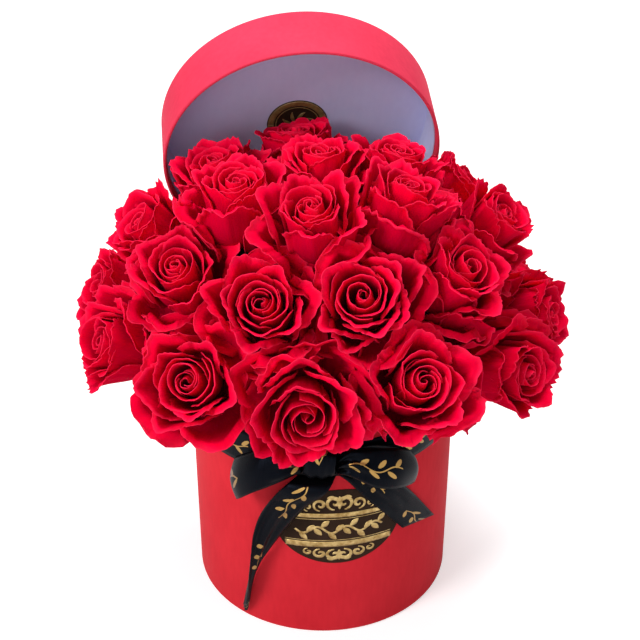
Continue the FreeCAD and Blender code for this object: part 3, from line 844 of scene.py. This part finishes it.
# Stations along each ribbon: two edge points, each in degrees round, height and distance out
LOOP_LEFT = (
    ((0, -3, 9), (0, 8, 9)), ((-7, -7, 16), (-6, 14, 12)), ((-14, -13, 21), (-13, 13, 12.5)),
    ((-20.5, -24, 19), (-21, 4, 11)), ((-24, -31, 12), (-26, -3, 8)),
    ((-19, -24, 5), (-20, 3, 5)), ((-9, -8, 4.5), (-9, 12, 4.5)), ((0, -3, 5), (0, 8, 5)),
)
LOOP_RIGHT = (
    ((0, -3, 9), (0, 8, 9)), ((4, -1, 16), (5, 17, 12)), ((12, -8, 22), (12, 16, 13.5)),
    ((20, -13, 21), (20, 12, 12.5)), ((29.5, -20, 12), (27, 5, 9)),
    ((23, -16, 5), (22, 8, 5)), ((11, -7, 4.5), (11, 13, 4.5)), ((0, -3, 5), (0, 8, 5)),
)
TAIL_LEFT = (
    ((-8, -7, 6), (6, -7, 6)), ((-12, -11, 14), (2.5, -13, 15)), ((-17.5, -25, 12), (-5, -29, 11)),
    ((-22, -40, 12), (-12.5, -51, 5.5)), ((-24.5, -57, 14), (-20, -73, 2)),
    ((-25.5, -76, 15), (-27, -93, 1.5)), ((-27.5, -100, 13), (-32, -116, 1.5)),
    ((-31.5, -126, 6), (-33.8, -138, 1.5)),
)
TAIL_RIGHT = (
    ((0, -8, 2.2), (1.5, 1, 2.2)), ((4.5, -15, 2.2), (14, -6, 2.2)),
    ((10.3, -27.5, 1.8), (21, -18.5, 1.8)), ((18.2, -43, 1.5), (31.5, -34, 1.5)),
    ((29.6, -65.5, 1.5), (50, -73, 1.5)),
)
# Each strip's name and node, turn where it starts, stations, steps, swell and start of its print in
# millimetres, and how it is held
STRIPS = (
    ("satin_loop_left", "bow_loop_left", KNOT_TURN - KNOT_SIDE, LOOP_LEFT, 60, -3.6, -21, "folded"),
    ("satin_loop_right", "bow_loop_right", KNOT_TURN + KNOT_SIDE, LOOP_RIGHT, 60, 4.2, 10, "folded"),
    ("satin_tail_left", "bow_tail_left", KNOT_TURN, TAIL_LEFT, 70, 3.0, 10, "hung"),
    ("satin_tail_right", "bow_tail_right", KNOT_TURN + KNOT_SIDE, TAIL_RIGHT, 50, 0.8, 8, "hung"),
)


def edge_point(start_turn, turn, lift, out):
    point = direction(start_turn + turn, 0) * ((BOW_R + out) * MM)
    return np.array(point) + (0, 0, (RIBBON_MIDDLE + lift) * MM)


def through(points, count):
    """A smooth line through points, as evenly stepped samples"""
    points = np.asarray(points)
    padded = np.concatenate([2 * points[:1] - points[1:2], points, 2 * points[-1:] - points[-2:-1]])
    samples = []
    for t in np.linspace(0, len(points) - 1, count):
        i = min(int(t), len(points) - 2)
        f = t - i
        a, b, c, d = padded[i:i + 4]
        samples.append(0.5 * (2 * b + (c - a) * f + (2 * a - 5 * b + 4 * c - d) * f ** 2
                              + (3 * b - a - 3 * c + d) * f ** 3))
    return np.array(samples)


def ribbon_piece(name, node, points, across, along):
    """A length of ribbon in place of a node; across and along lay out its weave and print"""
    uv = stacked(across, along[:, None]).reshape(-1, 2)
    faces = sheet_faces(len(along), len(across))
    return add_piece(name, points, faces, SATIN, "box", "satin_ribbon", (node,), np.tile(uv, (2, 1)))


def ribbon_strip(name, node, start_turn, stations, steps, swell, print_from, held):
    """A length of ribbon through its stations, swelled across and pleated where it is drawn together"""
    low = through([edge_point(start_turn, *first) for first, _ in stations], steps)
    high = through([edge_point(start_turn, *second) for _, second in stations], steps)
    share = np.linspace(0, 1, STRIP_SIDES)[None, :, None]
    flat = low[:, None] * (1 - share) + high[:, None] * share
    width = np.linalg.norm(high - low, axis=1)[:, None]
    spare = np.clip(RIBBON_WIDTH * MM / width - 1, 0, MOST_SPARE)
    rise = np.minimum(width / (math.pi * PLEATS) * np.sqrt(2 * spare), MOST_PLEAT)
    wave = np.sin(2 * math.pi * PLEATS * share[..., 0] + 0.6)
    spread = np.sin(math.pi * np.linspace(0, 1, steps))[:, None] ** 0.5
    crown = swell * MM * np.sin(math.pi * share[..., 0]) * spread
    front = flat + grid_normals(flat) * (rise * wave * 0.7 + crown)[..., None]
    steps_along = np.linalg.norm(np.diff((low + high) / 2, axis=0), axis=1)
    along = np.concatenate([[0], np.cumsum(steps_along)])
    across = (share[0, :, 0] - 0.5) * RIBBON_WIDTH * MM
    made = ribbon_piece(name, node, sheet_points(front, CLOTH), across, along - print_from * MM)


def ribbon_band():
    """Ribbon round the wall, a little slack along its edges"""
    low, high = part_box("ribbon_band")
    turns = np.radians(np.arange(-180, 180 + BAND_STEP / 2, BAND_STEP))[:, None]
    share = np.linspace(0, 1, BAND_SIDES)[None, :]
    slack = 0.25 * MM * np.sin(5 * turns + 3 * share) * np.abs(2 * share - 1)
    r = high.x - 0.1 * MM + slack - 0.2 * MM * np.abs(2 * share - 1) ** 6
    z = low.z + (high.z - low.z) * share + 0.5 * MM * np.sin(2 * turns + 0.7)
    front = stacked(r * np.sin(turns), -r * np.cos(turns), z)
    across = (share[0] - 0.5) * RIBBON_WIDTH * MM
    length = 2 * math.pi * high.x
    along = np.linspace(0, length, len(turns))
    made = ribbon_piece("satin_band", "ribbon_band", sheet_points(front, CLOTH), across, along)


def bow_knot():
    """The ribbon drawn round the middle of the bow, pleated across"""
    low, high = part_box("bow_knot")
    half_width, half_depth, half_height = KNOT_HALF
    turns = np.radians(np.linspace(-200, 200, KNOT_GRID[0]))[:, None]
    share = np.linspace(-1, 1, KNOT_GRID[1])[None, :]
    drawn = 1 - 0.30 * np.abs(share) ** 3
    pleat = 0.55 * MM * np.sin(8.5 * share + 0.5 * np.sin(turns)) * (1 - 0.3 * np.abs(share))
    layer = 0.35 * MM * (turns / math.pi)
    square = [np.sign(wave) * np.abs(wave) ** 0.75 for wave in (np.cos(turns), np.sin(turns))]
    x = half_width * share + 0.8 * MM * np.sin(2 * turns)
    y = -(half_depth * drawn + pleat + layer) * square[0]
    z = (half_height * drawn + pleat + layer) * square[1]
    front = stacked(x, y, z)
    middle_line = front[:, KNOT_GRID[1] // 2]
    length = float(np.linalg.norm(np.diff(middle_line, axis=0), axis=1).sum())
    spin = np.array(Matrix.Rotation(math.radians(KNOT_TURN), 3, "Z"))
    middle = direction(KNOT_TURN, 0) * ((BOW_R + KNOT_OUT) * MM) + Vector((0, 0, (low.z + high.z) / 2))
    points = sheet_points(front, CLOTH) @ spin.T + np.array(middle)
    across = share[0] * RIBBON_WIDTH / 2 * MM
    along = np.linspace(0, length, len(turns)) + KNOT_PRINT * MM
    made = ribbon_piece("satin_knot", "bow_knot", points, across, along)


# Foil ornament on the label and the sticker, drawn flat as strokes

FOIL_LIFT = 0.12 * MM
FOIL_THICK = 0.05 * MM
SCROLL_STEPS = 26
LEAF_STEPS = 14


def stroke(form, line, widths, wrap):
    """A flat strip of foil along a drawn line, of one width or many, wrapped onto what carries it"""
    ahead = unit(np.gradient(line, axis=0))
    side = stacked(-ahead[:, 1], ahead[:, 0]) * np.reshape(widths, (-1, 1)) / 2
    rows = [line - side, line - 0.5 * side, line, line + 0.5 * side, line + side]
    lifts = (0.0, 0.8, 1.0, 0.8, 0.0)
    front = np.stack([wrap(row * MM, lift * FOIL_LIFT) for row, lift in zip(rows, lifts)], axis=1)
    form.add(sheet_points(front, FOIL_THICK), sheet_faces(len(line), len(rows)))


def tapered(count, width, ends=0.15):
    """Widths that swell along a stroke"""
    return width * (ends + (1 - ends) * np.sin(np.linspace(0.06, math.pi - 0.06, count)))


def scroll(start, radius, turns):
    """A spiral that starts at a point, right below its middle, and winds in"""
    t = np.linspace(0, 1, SCROLL_STEPS)
    shrink = radius * (1 - t) ** 0.8 + 0.12 * radius
    angle = 2 * math.pi * turns * t - math.pi / 2
    ring = stacked(shrink * np.cos(angle), shrink * np.sin(angle))
    return ring - ring[0] + start


def circle(radius):
    turns = np.linspace(0, 2 * math.pi, RING_STEPS)
    return radius * stacked(np.cos(turns), np.sin(turns))


LABEL_MIDDLE = 90.5
LABEL_HALF = (42.0, 30.0)
LABEL_FACE = 0.42 * MM
LABEL_MARGIN = 1.5
LINE_STEPS = 48
# Gold bars across the label: height and width
LABEL_BARS = ((-14.0, 4.4), (9.5, 3.6))
LABEL_HAIRLINE = 0.6
HAIRLINE_GAP = 1.1
# Scrolls each side of the middle, above and below the bars: start, reach, turns and width of stroke
LABEL_SCROLLS = (
    ((3.2, 1.6), 5.0, 1.15, 2.9), ((12.6, 0.9), 4.2, 1.2, 2.4), ((20.6, 0.5), 2.9, 1.1, 1.8),
)
SCROLLS_BELOW = -0.78
VINE_REACH = 29
VINE_WAVE = 19
VINE_SWING = 2.6
VINE_WIDTH = 1.7
VINE_STEPS = 90
VINE_LEAF_STEPS = 12


def on_label(points, lift):
    """Flat label points onto the curve of the box"""
    r = BOX_R + LABEL_FACE + lift
    turn = points[:, 0] / BOX_R
    return stacked(r * np.sin(turn), -r * np.cos(turn), points[:, 1] + LABEL_MIDDLE * MM)


def label_bars(form):
    for level, width in LABEL_BARS:
        reach = LABEL_HALF[0] * math.sqrt(1 - (level / LABEL_HALF[1]) ** 2) - LABEL_MARGIN
        inner = level - math.copysign(width / 2 + HAIRLINE_GAP, level)
        for height, thick in ((level, width), (inner, LABEL_HAIRLINE)):
            line = stacked(np.linspace(-reach, reach, LINE_STEPS), height)
            stroke(form, line, thick, on_label)


def label_scrolls(form, base, scale):
    """Scrollwork each side of a drop, standing on its base or, with a scale below 0, hanging from it"""
    for hand in (1, -1):
        for start, reach, turns, width in LABEL_SCROLLS:
            line = scroll(start, reach, turns) * (hand, scale) + (0, base)
            stroke(form, line, tapered(len(line), width, 0.35), on_label)
        rise = 8.5 + 3.2 * np.sin(np.linspace(0, 2.2, LEAF_STEPS))
        leaf = stacked(np.linspace(1.0, 8.0, LEAF_STEPS), rise) * (hand, scale) + (0, base)
        stroke(form, leaf, tapered(LEAF_STEPS, 3.2), on_label)
    drop = stacked(0, np.linspace(2.0, 12.5, LEAF_STEPS)) * (1, scale) + (0, base)
    stroke(form, drop, tapered(LEAF_STEPS, 3.6), on_label)


def label_vine(form, middle):
    """A wavy stalk with broad leaves each side in turn"""
    x = np.linspace(-VINE_REACH, VINE_REACH, VINE_STEPS)
    stalk = stacked(x, middle + vine_swing(x))
    stroke(form, stalk, VINE_WIDTH, on_label)
    for index in range(-6, 6):
        start = (index + 0.5) * VINE_WAVE / 4
        side = 1 if index % 2 else -1
        run = start + np.linspace(0, 5.2, VINE_LEAF_STEPS)
        rise = side * np.linspace(0.3, 6.4, VINE_LEAF_STEPS) ** 0.95
        leaf = stacked(run, middle + vine_swing(start) + rise)
        stroke(form, leaf, tapered(VINE_LEAF_STEPS, 4.0), on_label)


def vine_swing(x):
    return VINE_SWING * np.sin(x * 2 * math.pi / VINE_WAVE)


def label_foil():
    """Gold bars across the label, scrollwork above and below, and a vine between the bars"""
    form = Gather()
    (low, low_width), (high, high_width) = LABEL_BARS
    label_bars(form)
    label_scrolls(form, high + high_width / 2 + 1.2, 1)
    label_scrolls(form, low - low_width / 2 - 1.0, SCROLLS_BELOW)
    label_vine(form, (low + high) / 2)
    form.piece("label_foil", FOIL, "box", "label_paper")


LINING_THICK = 0.5 * MM
STICKER_THICK = 0.4 * MM
STICKER_GAP = 0.03 * MM
# Radius and width of each ring
STICKER_RINGS = ((18.3, 4.2), (14.9, 0.7))
STICKER_LEAVES = 8
RING_STEPS = 97


def on_sticker(points, lift):
    """Flat sticker points onto the inside of the lid"""
    face = LID_DEPTH - LID_BOARD - LINING_THICK - STICKER_THICK
    return in_lid(stacked(*points.T, face - STICKER_GAP - lift))


def sticker_foil():
    """A broad gold ring, a thin one, and a rosette of leaves"""
    form = Gather()
    for radius, width in STICKER_RINGS:
        stroke(form, circle(radius), width, on_sticker)
    reach = np.linspace(2.5, 11.5, LEAF_STEPS)
    for index in range(STICKER_LEAVES):
        bend = math.radians(360 / STICKER_LEAVES * index) + 0.05 * (reach - reach[0])
        leaf = stacked(reach * np.cos(bend), reach * np.sin(bend))
        stroke(form, leaf, tapered(LEAF_STEPS, 2.6), on_sticker)
    form.piece("sticker_foil", DULL_FOIL, "lid", "label_paper")


# Stage

FLOOR_SIZE = 14
FLOOR_DROP = 0.5 * MM
# The floor's own light grows with the distance from the object, in metres
FLOOR_LIGHT = {"From Min": 0.5, "From Max": 2.5, "To Min": 0.5, "To Max": 1.0}
WORLD_LIGHT = (0.30, 1.0)
# Name, place, target, size and power of each lamp
LAMPS = (
    ("key", (-1.15, -0.75, 1.05), (0, 0, 0.2), 0.7, 18),
    ("fill", (1.2, -1.1, 0.8), (0, 0, 0.2), 1.2, 2),
    ("front", (-0.4, -1.5, 0.7), (0, 0, 0.3), 1.0, 4.5),
    ("top", (0.2, 0.25, 1.5), (0, 0, 0.25), 0.8, 17),
)


def seen_rays(made):
    """1 for what the camera sees, straight or mirrored, and 0 for the light that falls on things"""
    path = made.node("LightPath").outputs
    mirrored = made.math("MAXIMUM", path["Is Glossy Ray"], path["Is Transmission Ray"])
    return made.math("MAXIMUM", path["Is Camera Ray"], mirrored)


def floor():
    """A wide pale floor that keeps the shadow and looks white to the camera"""
    bpy.ops.mesh.primitive_grid_add(x_subdivisions=8, y_subdivisions=8, size=FLOOR_SIZE,
                                    location=(0, 0, -FLOOR_DROP))
    ground = bpy.context.object
    ground.name = "studio_floor"
    made = Finish("studio_floor", Roughness=0.9, Specular_IOR_Level=0.1, Emission_Color=(1, 1, 1, 1))
    tone = made.noise(made.place(), 1.5, 2.0)
    colour = made.ramp(tone, (0.3, (0.76, 0.76, 0.77, 1.0)), (0.7, (0.79, 0.79, 0.79, 1.0)))
    far = made.node("VectorMath", {0: made.place()}, operation="LENGTH").outputs["Value"]
    level = made.node("MapRange", {"Value": far, **FLOOR_LIGHT}).outputs["Result"]
    light = made.times(seen_rays(made), level)
    ground.data.materials.append(made.finish(Base_Color=colour, Emission_Strength=light))


def world():
    """Soft light all round, which looks white to the camera and in reflections"""
    made = bpy.data.worlds.new("studio")
    bpy.context.scene.world = made
    made.use_nodes = True
    nodes = Nodes(made.node_tree)
    back = made.node_tree.nodes["Background"].inputs
    nodes.feed(back["Color"], (1.0, 1.0, 1.0, 1.0))
    nodes.feed(back["Strength"], nodes.levels(seen_rays(nodes), *WORLD_LIGHT))


def aimed(name, data, place, ahead):
    """A lamp or a camera in its place, looking ahead"""
    made = bpy.data.objects.new(name, data)
    made.location = place
    made.rotation_euler = ahead.to_track_quat("-Z", "Y").to_euler()
    bpy.context.scene.collection.objects.link(made)
    return made


def lamp(name, place, target, size, power):
    light = bpy.data.lights.new(name, "AREA")
    light.shape = "DISK"
    light.size = size
    light.energy = power
    aimed(name, light, place, Vector(target) - Vector(place))


CAMERA_PLACE = Vector((-0.0855, -0.6961, 0.5895))
CAMERA_AHEAD = Vector((0.1040, 0.8648, -0.4913))
CAMERA_LENS = 67.5


def camera():
    data = bpy.data.cameras.new("photo_view")
    data.lens = CAMERA_LENS
    data.sensor_width = 36
    data.sensor_fit = "HORIZONTAL"
    bpy.context.scene.camera = aimed("photo_view", data, CAMERA_PLACE, CAMERA_AHEAD)


# Nodes that keep their CAD shape, and their materials
CARRIED = {
    "box_base": GREY_BOARD,
    "waterproof_liner": FILM,
    "floral_foam": FOAM,
    "front_label": BLACK_PAPER,
    "lid_lining": LINING_PAPER,
    # Lining of the lid's wall, painted darker as painted shade
    "lid_wall_lining": SHADED_WALL_LINING,
    "lid_sticker": BLACK_PAPER,
}

for name, material in CARRIED.items():
    shown = frame["nodes"][name].data.materials
    shown.clear()
    shown.append(material)
box_shell()
lid_shell()
for head in HEADS:
    rose(head)
stems()
ribbon_band()
for strip in STRIPS:
    ribbon_strip(*strip)
bow_knot()
label_foil()
sticker_foil()

floor()
world()
for row in LAMPS:
    lamp(*row)
camera()
bpy.context.scene.view_settings.view_transform = "Standard"
